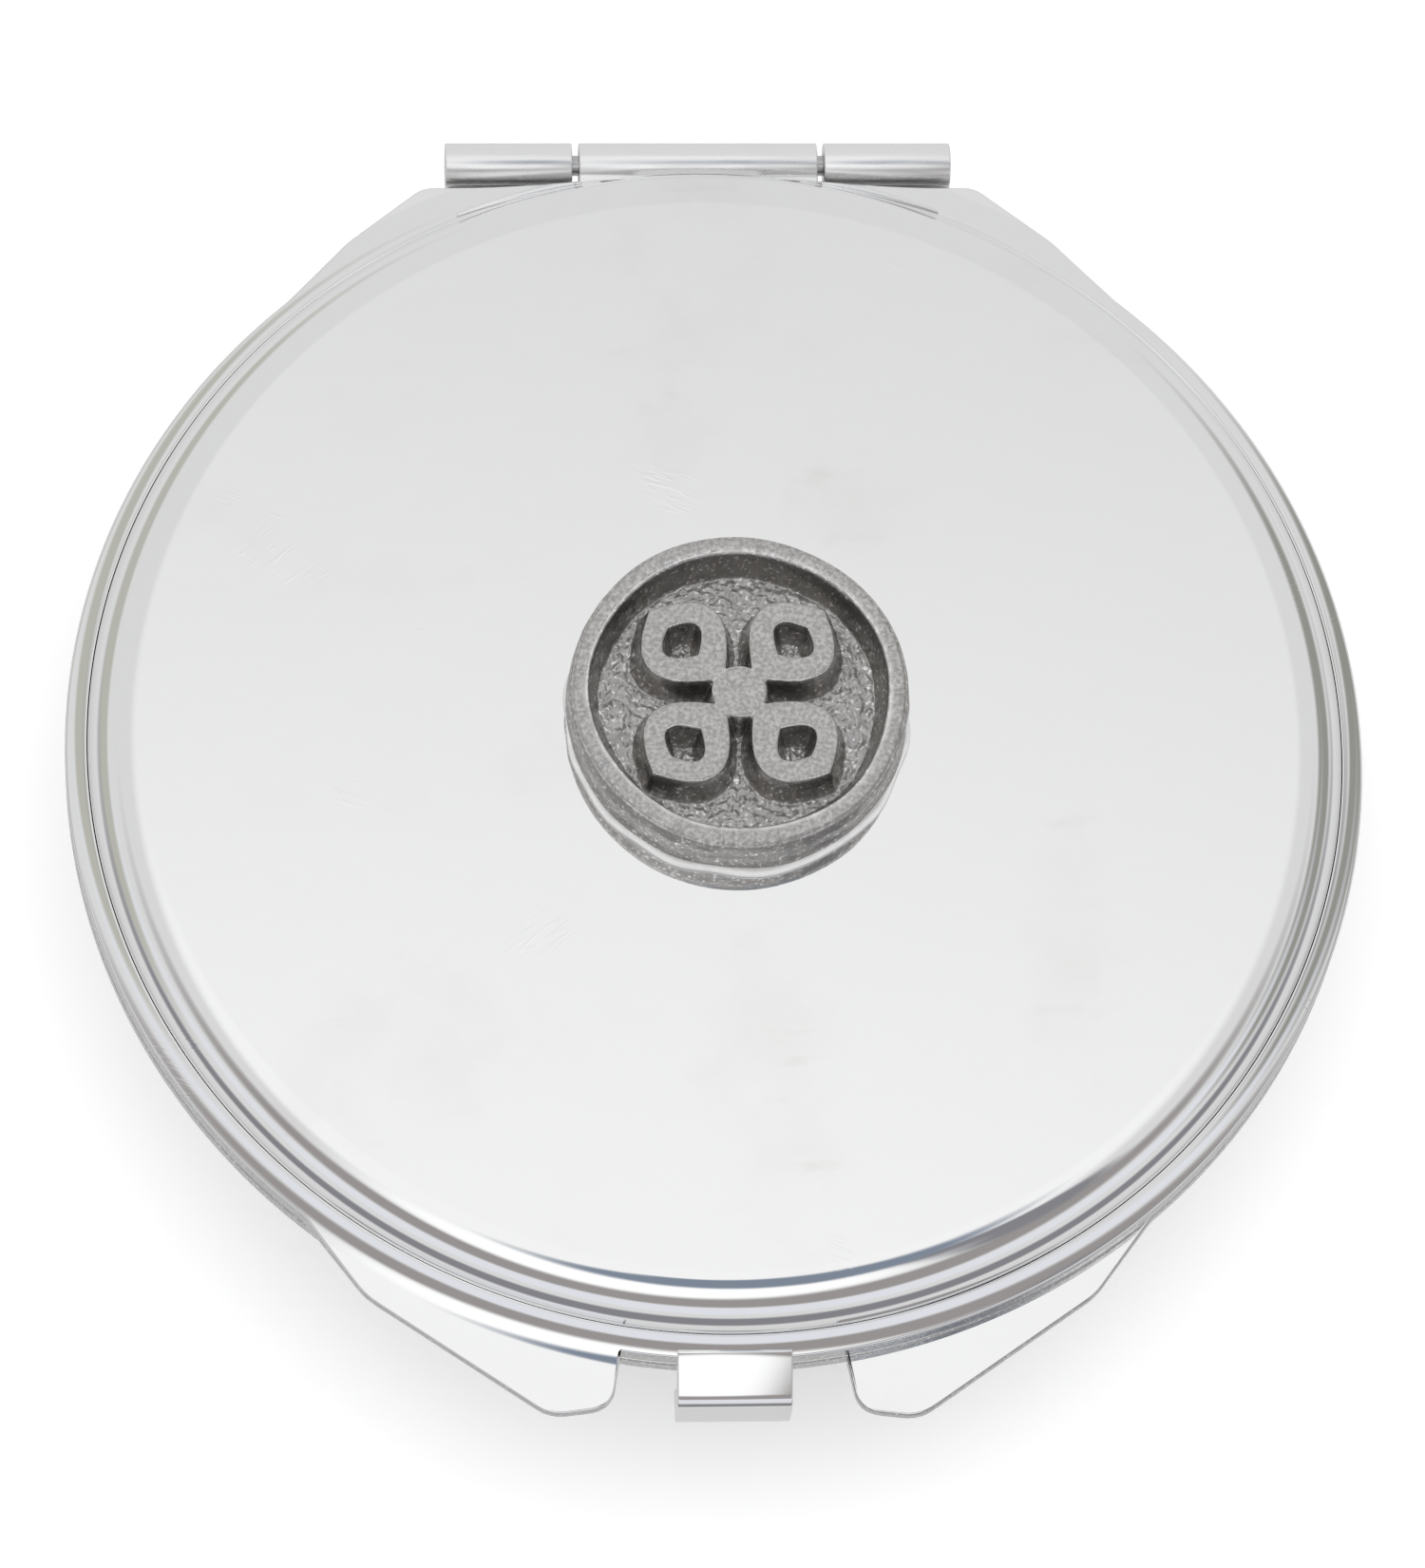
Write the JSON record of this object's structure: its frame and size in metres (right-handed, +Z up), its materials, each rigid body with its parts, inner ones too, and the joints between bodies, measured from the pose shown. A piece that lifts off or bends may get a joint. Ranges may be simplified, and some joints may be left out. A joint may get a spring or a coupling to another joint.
{
  "type": "hinged round pill box",
  "caption": "Round metal pill box with a hinged mirror-polished lid, finger ears, a front latch tongue, a raised cast badge and a divided tray inside.",
  "frame": {"origin": "centre of the base cup's flat underside, on the surface the box stands on, on the axis of the round case", "axes": "+Z up, out of the lid; +Y towards the hinge; -Y towards the latch tongue; +X to the right seen from the latch"},
  "size_m": [0.052, 0.0552, 0.0138],
  "materials": {
    "polished_metal": "mirror-polished plate with faint hand smudges and fine scratches",
    "steel_wire": "drawn wire, cropped ends",
    "mirror_glass": "silvered glass, ground edge",
    "foam": "closed-cell foam with adhesive faces",
    "pewter": "cast pewter, grained recess, hand-filed bright rim",
    "adhesive": "cured glue",
    "tray_plastic": "satin moulded plastic"
  },
  "bodies": {
    "base": {"base_cup": "polished_metal", "base_frame": "polished_metal", "hinge_pin": "steel_wire", "pill_tray": "tray_plastic"},
    "lid": {"lid_cap": "polished_metal", "lid_frame": "polished_metal", "mirror_pad": "foam", "lid_mirror": "mirror_glass", "mirror_bezel": "polished_metal", "badge_adhesive": "adhesive", "badge": "pewter"}
  },
  "joints": [
    {"name": "lid_hinge", "type": "hinge", "parent": "base", "child": "lid", "pos_m": [0, 0.02626, 0.0086], "axis": [-1, 0, 0], "range_deg": [0, 180]}
  ]
}
